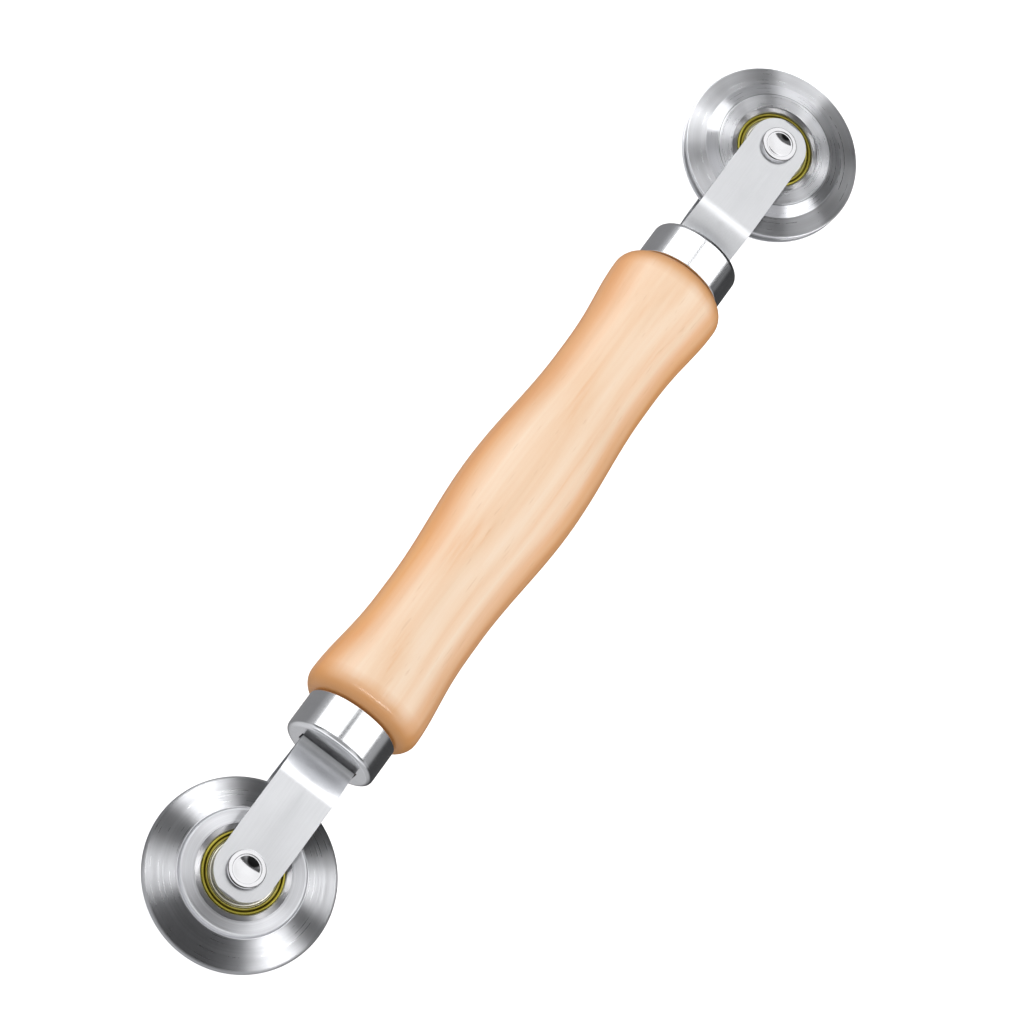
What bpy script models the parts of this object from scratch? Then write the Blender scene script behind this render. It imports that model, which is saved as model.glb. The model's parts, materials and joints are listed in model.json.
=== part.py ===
"""Double-ended spline roller: a turned wooden handle with a ball-bearing wheel in a fork on each end.

The handle's axis is X and the wheels' axles are parallel to Z, with the origin at the handle's centre.
The end at -X carries the thin wheel with a convex rim, and the end at +X the wheel with a grooved rim.
Each end is built once at +X in its own frame, which is turned about Z to its place.
Every size is in metres.
"""

import math

import bmesh
import bpy

# Handle.
HANDLE_HALF = 0.0564        # half of the wood's length between its two shoulders
HANDLE_END_R = 0.01200
HANDLE_WAIST_R = 0.01050
HANDLE_MIDDLE_R = 0.01215
WAIST_X = 0.0290            # where the handle is thinnest
SWELL_X = 0.0528            # where the handle is thickest near its ends
FLARE_POWER = 1.8           # above 1, the handle stays slim for longer before it flares
SHOULDER_ROUND = 0.0036
TENON_R = 0.0083
TENON_END = 0.0632
TENON_CHAMFER = 0.0004

# Ferrule.
FERRULE_R = 0.0095
FERRULE_BORE_R = 0.0086
FERRULE_END = 0.0648
FERRULE_WALL = 0.0012
FERRULE_ROUND = 0.0012
FERRULE_CHAMFER = 0.0003

# Fork, a strap folded in two, whose folded end is the tang in the handle.
AXLE_X = 0.0930             # handle's centre to each wheel's axle
FORK_WIDTH = 0.0120
FORK_THICK = 0.0010
CHEEK_OUTER_Z = 0.0049      # outer face of a cheek beside the wheel
TANG_OUTER_Z = 0.0014       # outer face of each leaf of the tang
TANG_END = 0.0480           # the fold, in the handle
JOGGLE_START = 0.0659
JOGGLE_END = 0.0736
JOGGLE_STATIONS = 10
SLOT_PLAY = 0.0003          # round the tang in the wood and in the ferrule
SLOT_END_PLAY = 0.0010
PIN_X = 0.0602              # the pin through the tenon and the tang, under the ferrule
PIN_R = 0.0010
PIN_HALF = 0.0080
PIN_PLAY = 0.0002

# Axle rivet and spacers.
RIVET_R = 0.0028
RIVET_HEAD_R = 0.0037
RIVET_HEAD_HEIGHT = 0.0009
RIVET_ROUND = 0.0005
CONE_R = 0.0025             # the cone pressed into each rivet head
CONE_DEPTH = 0.0013
SPACER_R = 0.0046
STACK_GAP = 0.0002          # between the pieces stacked on the axle

# Ball bearing, 6 mm bore, 19 mm outside, 6 mm wide.
RACE_BORE_R = 0.0030
RACE_OUTER_R = 0.0095
RACE_HALF = 0.0030
RACE_CHAMFER = 0.0003
BALL_R = 0.00175
BALL_PITCH_R = 0.00625
BALL_COUNT = 7
GROOVE_PLAY = 0.0001        # a ball's clearance to each race
INNER_LAND_R = 0.00485
OUTER_LAND_R = 0.00765
SEAT_R = 0.00795            # where a shield and its snap ring sit in the outer race
SEAT_Z = 0.00215
SNAP_RING_IN_R = 0.0065
SHEET = 0.0003              # thickness of a shield
CAGE_HALF_WALL = 0.0005
CAGE_BOTTOM = -0.00205
CAGE_TOP = 0.0010

# Wheels.
WHEEL_R = 0.0183
HUB_HALF = 0.0031
HUB_CHAMFER = 0.0002
HUB_RING_R = 0.0120         # outside of the convex wheel's raised hub ring
HUB_RING_ROUND = 0.0006
HUB_RING_FOOT_Z = 0.0023
CONVEX_RIM_HALF = 0.0009
HUB_FACE_R = 0.0118         # outside of the grooved wheel's flat hub face
BEVEL_END_R = 0.0143
BEVEL_END_Z = 0.0021
GROOVED_RIM_HALF = 0.0014
GROOVE_HALF = 0.0010
GROOVE_DEPTH = 0.0010

# Clearances.
GAP = 0.0003                # between two pieces that touch
PRESS_GAP = 0.0001          # between two pieces pressed together

# Segments round each kind of piece.
HANDLE_STEPS = 24
HANDLE_STATIONS = 16
WHEEL_STEPS = 36
BEARING_STEPS = 24
CAGE_STEPS = 4 * BALL_COUNT
RIVET_STEPS = 20
SMALL_STEPS = 16
BALL_SEGMENTS = 8
BALL_RINGS = 6

CONVEX = "convex"
GROOVED = "grooved"
SIDES = {"upper": 1, "lower": -1}
ALONG_X = (0.0, math.pi / 2, 0.0)   # turns a piece's own Z axis to +X

FINISHES = {                # base colour, metallic, roughness
    "wood": ((0.79, 0.56, 0.36), 0.0, 0.40),
    "ferrule_steel": ((0.80, 0.81, 0.83), 1.0, 0.12),
    "fork_steel": ((0.72, 0.73, 0.75), 1.0, 0.32),
    "rivet_steel": ((0.78, 0.78, 0.80), 1.0, 0.14),
    "wheel_steel": ((0.62, 0.63, 0.65), 1.0, 0.28),
    "bearing_steel": ((0.75, 0.75, 0.76), 1.0, 0.16),
    "ball_steel": ((0.70, 0.71, 0.73), 1.0, 0.08),
    "shield_steel": ((0.74, 0.72, 0.64), 1.0, 0.35),
    "snap_ring_brass": ((0.58, 0.50, 0.20), 1.0, 0.30),
    "cage_nylon": ((0.16, 0.15, 0.13), 0.0, 0.50),
    "zinc_steel": ((0.60, 0.61, 0.62), 1.0, 0.40),
}


def clear_scene():
    """Remove what the file holds, so that only the model is in it."""
    for item in list(bpy.data.objects):
        bpy.data.objects.remove(item, do_unlink=True)
    for group in list(bpy.data.collections):
        bpy.data.collections.remove(group)


def new_collection(name):
    group = bpy.data.collections.new(name)
    bpy.context.scene.collection.children.link(group)
    return group


def material(name):
    """The named finish, made once and shared by its pieces."""
    found = bpy.data.materials.get(name)
    if found:
        return found
    colour, metallic, roughness = FINISHES[name]
    made = bpy.data.materials.new(name)
    made.use_nodes = True
    shader = made.node_tree.nodes["Principled BSDF"]
    shader.inputs["Base Color"].default_value = (*colour, 1.0)
    shader.inputs["Metallic"].default_value = metallic
    shader.inputs["Roughness"].default_value = roughness
    made.diffuse_color = (*colour, 1.0)
    return made


def add_object(name, bm, group, finish=None, parent=None):
    """Turn a bmesh into an object of the collection."""
    mesh = bpy.data.meshes.new(name)
    bm.to_mesh(mesh)
    bm.free()
    item = bpy.data.objects.new(name, mesh)
    group.objects.link(item)
    item.parent = parent
    if finish:
        mesh.materials.append(material(finish))
    return item


def add_cutter(name, bm, cutters, parent=None, place=(0.0, 0.0, 0.0), turn=(0.0, 0.0, 0.0)):
    """A shape that only cuts another, shown as a wire and never rendered."""
    cutter = add_object(name, bm, cutters, parent=parent)
    cutter.location = place
    cutter.rotation_euler = turn
    cutter.hide_render = True
    cutter.display_type = "WIRE"
    return cutter


def cut(item, cutter, operation="DIFFERENCE"):
    """Cut or trim with an exact Boolean, which stays on the object."""
    boolean = item.modifiers.new(cutter.name, "BOOLEAN")
    boolean.operation = operation
    boolean.solver = "EXACT"
    boolean.object = cutter


def turned(name, profile, group, finish, parent=None, ring=False, steps=BEARING_STEPS):
    """Revolve (radius, height) points about the object's Z axis with a Screw modifier.

    The points run down the outer side, top to bottom. A ring's points go on up its bore and close,
    and any other profile starts and ends on the axis.
    """
    bm = bmesh.new()
    verts = [bm.verts.new((radius, 0.0, height)) for radius, height in profile]
    for first, second in zip(verts, verts[1:]):
        bm.edges.new((first, second))
    if ring:
        bm.edges.new((verts[-1], verts[0]))
    item = add_object(name, bm, group, finish, parent)
    screw = item.modifiers.new("Turn", "SCREW")
    screw.axis = "Z"
    screw.steps = steps
    screw.render_steps = steps
    screw.use_merge_vertices = True
    screw.merge_threshold = 0.00001
    screw.use_smooth_shade = True
    return item


def arc(centre, radius, start, end, count):
    """Points on a circle in a profile, with angles in degrees from the outward direction."""
    points = []
    for index in range(count + 1):
        angle = math.radians(start + (end - start) * index / count)
        points.append((centre[0] + radius * math.cos(angle), centre[1] + radius * math.sin(angle)))
    return points


def below(points):
    """The mirror image of a profile's upper points, in the order that carries on down."""
    return [(radius, -height) for radius, height in reversed(points)]


def mirrored(upper):
    """A profile that runs down to the middle plane, completed with its mirror image."""
    return upper + below(upper[:-1] if abs(upper[-1][1]) < 1e-9 else upper)


def cylinder_mesh(radius, depth, steps):
    bm = bmesh.new()
    bmesh.ops.create_cone(
        bm, cap_ends=True, segments=steps, radius1=radius, radius2=radius, depth=depth
    )
    return bm


def box_mesh(size):
    bm = bmesh.new()
    bmesh.ops.create_cube(bm, size=1.0)
    bmesh.ops.scale(bm, vec=size, verts=bm.verts)
    return bm


def ball_mesh(radius):
    bm = bmesh.new()
    bmesh.ops.create_uvsphere(bm, u_segments=BALL_SEGMENTS, v_segments=BALL_RINGS, radius=radius)
    return bm


def handle_radius(place):
    """Two cosine waves: the middle swell down to a waist, and the waist up to the swell near the end."""
    reach = abs(place)
    if reach < WAIST_X:
        share = 0.5 + 0.5 * math.cos(math.pi * reach / WAIST_X)
        return HANDLE_WAIST_R + (HANDLE_MIDDLE_R - HANDLE_WAIST_R) * share
    share = 0.5 - 0.5 * math.cos(math.pi * (reach - WAIST_X) / (SWELL_X - WAIST_X))
    return HANDLE_WAIST_R + (HANDLE_END_R - HANDLE_WAIST_R) * share ** FLARE_POWER


def make_handle(parts, cutters):
    """The wooden handle, turned about X, whose tenons have a slot for the tang and a pin hole."""
    tenon = [
        (0.0, TENON_END),
        (TENON_R - TENON_CHAMFER, TENON_END),
        (TENON_R, TENON_END - TENON_CHAMFER),
        (TENON_R, HANDLE_HALF),
    ]
    shoulder = (HANDLE_END_R - SHOULDER_ROUND, HANDLE_HALF - SHOULDER_ROUND)
    upper = tenon + arc(shoulder, SHOULDER_ROUND, 90, 8, 4)
    places = [SWELL_X * (1 - 2 * index / HANDLE_STATIONS) for index in range(HANDLE_STATIONS + 1)]
    side = [(handle_radius(place), place) for place in places]
    handle = turned("handle", upper + side + below(upper), parts, "wood", steps=HANDLE_STEPS)
    handle.rotation_euler = ALONG_X
    slot_start = TANG_END - SLOT_END_PLAY
    slot_end = TENON_END + SLOT_END_PLAY
    for name, way in ((CONVEX, -1), (GROOVED, 1)):
        slot_mesh = box_mesh((slot_end - slot_start, *tang_slot()))
        place = (way * (slot_start + slot_end) / 2, 0.0, 0.0)
        cut(handle, add_cutter(f"{name}_tang_slot", slot_mesh, cutters, None, place))
        hole_mesh = cylinder_mesh(PIN_R + PIN_PLAY, 3 * TENON_R, SMALL_STEPS)
        place = (way * PIN_X, 0.0, 0.0)
        cut(handle, add_cutter(f"{name}_pin_hole", hole_mesh, cutters, None, place))


def tang_slot():
    """Width and height of the slot that the tang goes through."""
    return FORK_WIDTH + 2 * SLOT_PLAY, 2 * (TANG_OUTER_Z + SLOT_PLAY)


def make_ferrule(end, frame, parts, cutters):
    """A steel cup over the tenon: a tube with a rounded closed end that has a slot for the fork."""
    mouth = HANDLE_HALF + GAP
    inner_end = FERRULE_END - FERRULE_WALL
    outside = [(0.0, FERRULE_END)]
    outside += arc((FERRULE_R - FERRULE_ROUND, FERRULE_END - FERRULE_ROUND), FERRULE_ROUND, 90, 0, 3)
    outside += [(FERRULE_R, mouth + FERRULE_CHAMFER), (FERRULE_R - FERRULE_CHAMFER, mouth)]
    inside = [(FERRULE_BORE_R, mouth), (FERRULE_BORE_R, inner_end), (0.0, inner_end)]
    ferrule = turned(
        f"{end}_ferrule", outside + inside, parts, "ferrule_steel", frame, steps=WHEEL_STEPS
    )
    ferrule.rotation_euler = ALONG_X
    slot_mesh = box_mesh((4 * FERRULE_WALL, *tang_slot()))
    cut(ferrule, add_cutter(f"{end}_ferrule_slot", slot_mesh, cutters, frame, (FERRULE_END, 0.0, 0.0)))


def strap_centre_line():
    """The upper half of the strap's centre line, as (distance from the handle's centre, height)."""
    tang_z = TANG_OUTER_Z - FORK_THICK / 2
    cheek_z = CHEEK_OUTER_Z - FORK_THICK / 2
    fold = arc((TANG_END + FORK_THICK / 2 + tang_z, 0.0), tang_z, 180, 90, 3)
    joggle = []
    for index in range(JOGGLE_STATIONS + 1):
        share = index / JOGGLE_STATIONS
        rise = 0.5 - 0.5 * math.cos(math.pi * share)
        place = JOGGLE_START + (JOGGLE_END - JOGGLE_START) * share
        joggle.append((place, tang_z + (cheek_z - tang_z) * rise))
    return fold + joggle + [(AXLE_X + FORK_WIDTH / 2, cheek_z)]


def strap_mesh(centre_line):
    """An open strip that follows the centre line in the XZ plane, as wide as the strap."""
    bm = bmesh.new()
    rows = []
    for place, height in centre_line:
        rows.append([bm.verts.new((place, way * FORK_WIDTH / 2, height)) for way in (-1, 1)])
    for first, second in zip(rows, rows[1:]):
        bm.faces.new((first[0], second[0], second[1], first[1]))
    return bm


def fork_outline_mesh():
    """A prism that holds the whole strap and ends in a half circle about the axle."""
    radius = FORK_WIDTH / 2
    start = TANG_END - SLOT_END_PLAY
    side_room = 0.0005
    run_out = 0.0010
    height = 0.0200
    arc_steps = 18
    points = [(start, -radius - side_room), (start, radius + side_room)]
    points += [(AXLE_X - run_out, radius + side_room)]
    for index in range(arc_steps + 1):
        angle = math.pi * (0.5 - index / arc_steps)
        points.append((AXLE_X + radius * math.cos(angle), radius * math.sin(angle)))
    points += [(AXLE_X - run_out, -radius - side_room)]
    bm = bmesh.new()
    face = bm.faces.new([bm.verts.new((x, y, -height / 2)) for x, y in points])
    grown = bmesh.ops.extrude_face_region(bm, geom=[face])
    moved = [item for item in grown["geom"] if isinstance(item, bmesh.types.BMVert)]
    bmesh.ops.translate(bm, vec=(0.0, 0.0, height), verts=moved)
    bmesh.ops.recalc_face_normals(bm, faces=bm.faces)
    return bm


def make_fork(end, frame, parts, cutters):
    """A folded strap: its tang in the handle, and two joggled cheeks with round ends."""
    upper_line = strap_centre_line()
    lower_line = [(place, -height) for place, height in reversed(upper_line)]
    fork = add_object(
        f"{end}_fork", strap_mesh(lower_line[:-1] + upper_line), parts, "fork_steel", frame
    )
    thick = fork.modifiers.new("Thickness", "SOLIDIFY")
    thick.thickness = FORK_THICK
    thick.offset = 0.0
    thick.use_even_offset = True
    cut(fork, add_cutter(f"{end}_fork_outline", fork_outline_mesh(), cutters, frame), "INTERSECT")
    axle_mesh = cylinder_mesh(RIVET_R + GAP, 4 * CHEEK_OUTER_Z, BEARING_STEPS)
    cut(fork, add_cutter(f"{end}_axle_hole", axle_mesh, cutters, frame, (AXLE_X, 0.0, 0.0)))
    hole_mesh = cylinder_mesh(PIN_R + PIN_PLAY, 4 * CHEEK_OUTER_Z, SMALL_STEPS)
    cut(fork, add_cutter(f"{end}_tang_hole", hole_mesh, cutters, frame, (PIN_X, 0.0, 0.0)))


def make_tang_pin(end, frame, parts):
    """The plain pin across the tenon that holds the tang in the wood."""
    pin = add_object(
        f"{end}_tang_pin", cylinder_mesh(PIN_R, 2 * PIN_HALF, SMALL_STEPS), parts, "zinc_steel", frame
    )
    pin.location.x = PIN_X


def make_axle_rivet(end, axle, parts):
    """The rivet that is the axle: a shank with a rolled head on each side and a cone in each head."""
    under = CHEEK_OUTER_Z + STACK_GAP
    top = under + RIVET_HEAD_HEIGHT
    head = [(0.0, top - CONE_DEPTH), (CONE_R, top)]
    head += arc((RIVET_HEAD_R - RIVET_ROUND, top - RIVET_ROUND), RIVET_ROUND, 90, 0, 2)
    head += [(RIVET_HEAD_R, under), (RIVET_R, under)]
    turned(f"{end}_axle_rivet", mirrored(head), parts, "rivet_steel", axle, steps=RIVET_STEPS)


def make_spacers(end, axle, parts):
    """A ring on each side between the bearing's inner race and the cheek."""
    low = RACE_HALF + STACK_GAP
    high = CHEEK_OUTER_Z - FORK_THICK - STACK_GAP
    for side, way in SIDES.items():
        top, bottom = (high, low) if way > 0 else (-low, -high)
        loop = [(SPACER_R, top), (SPACER_R, bottom), (RACE_BORE_R, bottom), (RACE_BORE_R, top)]
        turned(f"{end}_spacer_{side}", loop, parts, "zinc_steel", axle, ring=True, steps=SMALL_STEPS)


def ball_groove(land_r, way):
    """The upper half of a ball groove, from the race's land to the groove's bottom."""
    groove_r = BALL_R + GROOVE_PLAY
    edge = math.degrees(math.acos(abs(land_r - BALL_PITCH_R) / groove_r))
    return [(BALL_PITCH_R + way * (radius - BALL_PITCH_R), height)
            for radius, height in arc((BALL_PITCH_R, 0.0), groove_r, edge, 0, 3)]


def make_races(end, axle, wheel_axis, parts):
    """The bearing's two rings, each with a groove for the balls."""
    outside = mirrored(
        [(RACE_OUTER_R - RACE_CHAMFER, RACE_HALF), (RACE_OUTER_R, RACE_HALF - RACE_CHAMFER)]
    )
    track = [(SEAT_R, RACE_HALF), (SEAT_R, SEAT_Z), (OUTER_LAND_R, SEAT_Z)]
    track = mirrored(track + ball_groove(OUTER_LAND_R, 1))
    outer_loop = outside + list(reversed(track))
    turned(f"{end}_outer_race", outer_loop, parts, "bearing_steel", wheel_axis, ring=True)
    land = [(INNER_LAND_R - RACE_CHAMFER, RACE_HALF), (INNER_LAND_R, RACE_HALF - RACE_CHAMFER)]
    land = mirrored(land + ball_groove(INNER_LAND_R, -1))
    bore = [(RACE_BORE_R, -RACE_HALF), (RACE_BORE_R, RACE_HALF)]
    turned(f"{end}_inner_race", land + bore, parts, "bearing_steel", axle, ring=True)


def make_shields(end, wheel_axis, parts):
    """On each side a dished shield in the outer race and the brass-coloured snap ring that keeps it."""
    out = SEAT_R - PRESS_GAP
    plate_low = SEAT_Z + PRESS_GAP
    plate_high = plate_low + SHEET
    snap_low = plate_high + PRESS_GAP
    snap_high = RACE_HALF - PRESS_GAP / 2
    dish_r = SNAP_RING_IN_R - 2 * PRESS_GAP
    plate = [
        (out, plate_low),
        (out, plate_high),
        (dish_r, plate_high),
        (dish_r - SHEET, plate_high + SHEET),
        (INNER_LAND_R + GAP, plate_high + SHEET),
        (INNER_LAND_R + GAP, plate_low),
    ]
    snap = [(out, snap_low), (out, snap_high), (SNAP_RING_IN_R, snap_high), (SNAP_RING_IN_R, snap_low)]
    for side, way in SIDES.items():
        for name, loop, finish in (
            ("shield", plate, "shield_steel"),
            ("snap_ring", snap, "snap_ring_brass"),
        ):
            points = [(radius, way * height) for radius, height in loop]
            if way > 0:
                points.reverse()
            turned(f"{end}_{name}_{side}", points, parts, finish, wheel_axis, ring=True)


def ball_places():
    """Where each ball sits round the pitch circle, as (angle, location)."""
    places = []
    for index in range(BALL_COUNT):
        angle = 2 * math.pi * index / BALL_COUNT
        location = (BALL_PITCH_R * math.cos(angle), BALL_PITCH_R * math.sin(angle), 0.0)
        places.append((angle, location))
    return places


def make_balls(end, cage_axis, parts):
    """The balls, each with its poles along the axle."""
    for index, (angle, location) in enumerate(ball_places()):
        ball = add_object(f"{end}_ball_{index + 1}", ball_mesh(BALL_R), parts, "ball_steel", cage_axis)
        ball.data.shade_smooth()
        ball.location = location
        ball.rotation_euler = (0.0, 0.0, angle)


def make_cage(end, cage_axis, parts, cutters):
    """A nylon crown cage: a ring with round pockets that are open at the top."""
    outer_r = BALL_PITCH_R + CAGE_HALF_WALL
    inner_r = BALL_PITCH_R - CAGE_HALF_WALL
    loop = [(outer_r, CAGE_TOP), (outer_r, CAGE_BOTTOM), (inner_r, CAGE_BOTTOM), (inner_r, CAGE_TOP)]
    cage = turned(f"{end}_cage", loop, parts, "cage_nylon", cage_axis, ring=True, steps=CAGE_STEPS)
    for index, (angle, location) in enumerate(ball_places()):
        pocket = ball_mesh(BALL_R + PRESS_GAP)
        name = f"{end}_pocket_{index + 1}"
        cut(cage, add_cutter(name, pocket, cutters, cage_axis, location, (0.0, 0.0, angle)))


def convex_wheel_outline():
    """A raised hub ring, one straight cone down to the thin rim, and a round convex tread."""
    upper = arc((HUB_RING_R - HUB_RING_ROUND, HUB_HALF - HUB_RING_ROUND), HUB_RING_ROUND, 90, 0, 2)
    upper += [(HUB_RING_R, HUB_RING_FOOT_Z)]
    upper += arc((WHEEL_R - CONVEX_RIM_HALF, 0.0), CONVEX_RIM_HALF, 75, 0, 3)
    return mirrored(upper)


def grooved_wheel_outline():
    """A flat hub face, a bevel, a broad outer band and a tread with a round groove."""
    edge = PRESS_GAP
    upper = [
        (HUB_FACE_R, HUB_HALF),
        (HUB_FACE_R + 2 * edge, HUB_HALF - edge),
        (BEVEL_END_R, BEVEL_END_Z),
        (WHEEL_R - 2 * edge, GROOVED_RIM_HALF),
        (WHEEL_R, GROOVED_RIM_HALF - 2 * edge),
    ]
    steps = 3
    for index in range(steps + 1):
        angle = math.pi / 2 * index / steps
        upper.append((WHEEL_R - GROOVE_DEPTH * math.sin(angle), GROOVE_HALF * math.cos(angle)))
    return mirrored(upper)


def make_wheel(end, wheel_axis, parts):
    """The turned steel wheel that is pressed on the bearing."""
    outline = convex_wheel_outline() if end == CONVEX else grooved_wheel_outline()
    bore_r = RACE_OUTER_R + PRESS_GAP
    bore = mirrored([(bore_r + HUB_CHAMFER, HUB_HALF), (bore_r, HUB_HALF - HUB_CHAMFER)])
    loop = outline + list(reversed(bore))
    turned(f"{end}_wheel", loop, parts, "wheel_steel", wheel_axis, ring=True, steps=WHEEL_STEPS)


def add_empty(name, group, parent=None, place=(0.0, 0.0, 0.0)):
    item = bpy.data.objects.new(name, None)
    item.empty_display_size = WHEEL_R
    group.objects.link(item)
    item.parent = parent
    item.location = place
    return item


def make_end(end, turn, parts, cutters):
    """All pieces of one end, with an empty on the axle for each set of pieces that turns."""
    frame = add_empty(f"{end}_end", parts)
    frame.rotation_euler = (0.0, 0.0, turn)
    axle = add_empty(f"{end}_axle", parts, frame, (AXLE_X, 0.0, 0.0))
    wheel_axis = add_empty(f"{end}_wheel_spin", parts, axle)
    cage_axis = add_empty(f"{end}_cage_spin", parts, axle)
    make_ferrule(end, frame, parts, cutters)
    make_fork(end, frame, parts, cutters)
    make_tang_pin(end, frame, parts)
    make_axle_rivet(end, axle, parts)
    make_spacers(end, axle, parts)
    make_races(end, axle, wheel_axis, parts)
    make_shields(end, wheel_axis, parts)
    make_cage(end, cage_axis, parts, cutters)
    make_balls(end, cage_axis, parts)
    make_wheel(end, wheel_axis, parts)


def main():
    clear_scene()
    parts = new_collection("spline_roller")
    cutters = new_collection("cutters")
    make_handle(parts, cutters)
    make_end(GROOVED, 0.0, parts, cutters)
    make_end(CONVEX, math.pi, parts, cutters)


main()
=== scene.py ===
"""The looks of the double-ended spline roller: fine turned and folded metal, lacquered wood, studio light.

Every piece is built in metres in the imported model's own frame: the handle's axis is X and the wheels'
axles are parallel to Z. The end at -X has the convex wheel and the end at +X the grooved one.
"""

import math

import bmesh
import bpy
from mathutils import Matrix, Vector
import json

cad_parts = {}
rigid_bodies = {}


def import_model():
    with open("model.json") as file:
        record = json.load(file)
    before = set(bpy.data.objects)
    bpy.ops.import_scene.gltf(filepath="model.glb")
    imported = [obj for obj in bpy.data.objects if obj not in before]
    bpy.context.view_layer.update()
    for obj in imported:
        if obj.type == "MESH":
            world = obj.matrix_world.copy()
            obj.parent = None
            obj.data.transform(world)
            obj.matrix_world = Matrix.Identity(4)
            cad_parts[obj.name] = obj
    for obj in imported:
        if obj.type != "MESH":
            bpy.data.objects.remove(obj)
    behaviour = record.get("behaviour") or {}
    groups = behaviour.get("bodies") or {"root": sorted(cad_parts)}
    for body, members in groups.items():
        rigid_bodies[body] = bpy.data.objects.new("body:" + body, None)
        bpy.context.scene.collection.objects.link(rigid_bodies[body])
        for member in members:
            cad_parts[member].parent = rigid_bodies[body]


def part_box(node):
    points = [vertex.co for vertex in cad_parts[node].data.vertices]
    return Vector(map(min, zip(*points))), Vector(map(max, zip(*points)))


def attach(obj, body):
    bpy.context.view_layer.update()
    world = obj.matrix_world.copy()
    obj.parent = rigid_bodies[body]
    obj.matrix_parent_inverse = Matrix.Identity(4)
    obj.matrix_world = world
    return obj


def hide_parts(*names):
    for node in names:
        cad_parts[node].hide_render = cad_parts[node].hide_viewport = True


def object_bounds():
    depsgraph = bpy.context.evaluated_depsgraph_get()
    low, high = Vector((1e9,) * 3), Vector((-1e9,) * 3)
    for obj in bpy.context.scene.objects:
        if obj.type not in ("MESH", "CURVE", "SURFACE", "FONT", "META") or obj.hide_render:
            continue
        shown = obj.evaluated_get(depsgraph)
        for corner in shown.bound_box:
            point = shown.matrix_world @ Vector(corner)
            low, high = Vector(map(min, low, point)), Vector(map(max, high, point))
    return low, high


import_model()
cad_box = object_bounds()

ENDS = {"convex": -1, "grooved": 1}         # which way along X each end lies
SIDES = {"upper": 1, "lower": -1}           # which way along Z each side of a wheel lies
ALONG_X = Matrix.Rotation(math.pi / 2, 4, "Y")
UPRIGHT = Matrix.Identity(4)

MM = 0.001
TINY = 1e-7                 # a length that counts as nothing
ROUND_STEPS = 160           # segments round the large turned pieces
SMALL_STEPS = 96            # segments round the small ones
PIN_STEPS = 32              # segments round the pins and their holes
RIVET_HOLE_STEPS = 64       # segments round the holes in the cheeks


# ---------------------------------------------------------------- measures read from the frame

def box_size(node):
    """Size of a node's box along X, Y and Z."""
    low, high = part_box(node)
    return [high[i] - low[i] for i in range(3)]


def middle(node):
    """The middle of a node's box."""
    low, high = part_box(node)
    return Vector([(low[i] + high[i]) / 2 for i in range(3)])


WHEEL_R = box_size("convex_wheel")[1] / 2
HUB_HALF = box_size("convex_wheel")[2] / 2
RACE_R = box_size("convex_outer_race")[1] / 2
RACE_HALF = box_size("convex_outer_race")[2] / 2
FERRULE_R = box_size("convex_ferrule")[1] / 2
FERRULE_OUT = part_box("grooved_ferrule")[1][0]
FERRULE_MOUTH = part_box("grooved_ferrule")[0][0]
HANDLE_R = box_size("handle")[1] / 2
TENON_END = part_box("handle")[1][0]
HANDLE_HALF = FERRULE_MOUTH - 0.3 * MM      # the shoulder stops just short of the ferrule
FORK_HALF_WIDTH = box_size("convex_fork")[1] / 2
CHEEK_OUT = box_size("convex_fork")[2] / 2
AXLE_X = middle("grooved_wheel").x
RIVET_TOP = box_size("convex_axle_rivet")[2] / 2
RIVET_HEAD_R = box_size("convex_axle_rivet")[1] / 2
BALL_R = box_size("grooved_ball_1")[2] / 2
FLOOR_Z = cad_box[0][2]

# Measures that the boxes don't show: the model's own, but for the joggle's, which is a little softer.
HANDLE_END_R = 12.00 * MM
HANDLE_WAIST_R = 10.50 * MM
WAIST_X = 29.0 * MM
SWELL_X = 52.8 * MM
FLARE_POWER = 1.8
SHOULDER_ROUND = 3.6 * MM
TENON_R = 8.3 * MM
FERRULE_BORE_R = 8.6 * MM
FORK_THICK = 1.0 * MM
CHEEK_Z = CHEEK_OUT - FORK_THICK / 2        # the middle of a cheek's thickness
TANG_OUT = 1.4 * MM
TANG_END = 48.0 * MM
SLOT_CLEARANCE = 0.6 * MM   # what a slot is wider than the strap in it
PIN_HOLE_R = 1.2 * MM
THROUGH = 30 * MM           # depth of a drill that passes through every piece
JOGGLE_START = 65.9 * MM
JOGGLE_END = 74.2 * MM
JOGGLE_POWER = 0.90
RIVET_R = 2.8 * MM
RIVET_HOLE_R = RIVET_R + 0.3 * MM
RACE_BORE_R = 3.0 * MM
BALL_PITCH_R = 6.25 * MM
BALL_COUNT = 7
OUTER_LAND_R = 7.65 * MM
INNER_LAND_R = 4.85 * MM
SEAT_R = 7.95 * MM
SEAT_Z = 2.15 * MM
SNAP_RING_IN_R = 6.5 * MM


# ---------------------------------------------------------------- mesh making

def arc(centre, radius, start, end, count):
    """Points on a circle in a profile of (radius, height), with angles from the outward direction."""
    points = []
    for index in range(count + 1):
        angle = math.radians(start + (end - start) * index / count)
        points.append((centre[0] + radius * math.cos(angle), centre[1] + radius * math.sin(angle)))
    return points


def below(points):
    """The mirror image of a profile below the middle plane, run the other way."""
    return [(radius, -height) for radius, height in reversed(points)]


def mirrored(upper):
    """A profile that runs down to the middle plane, completed with its mirror image."""
    return upper + below(upper[:-1] if abs(upper[-1][1]) < TINY else upper)


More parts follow.
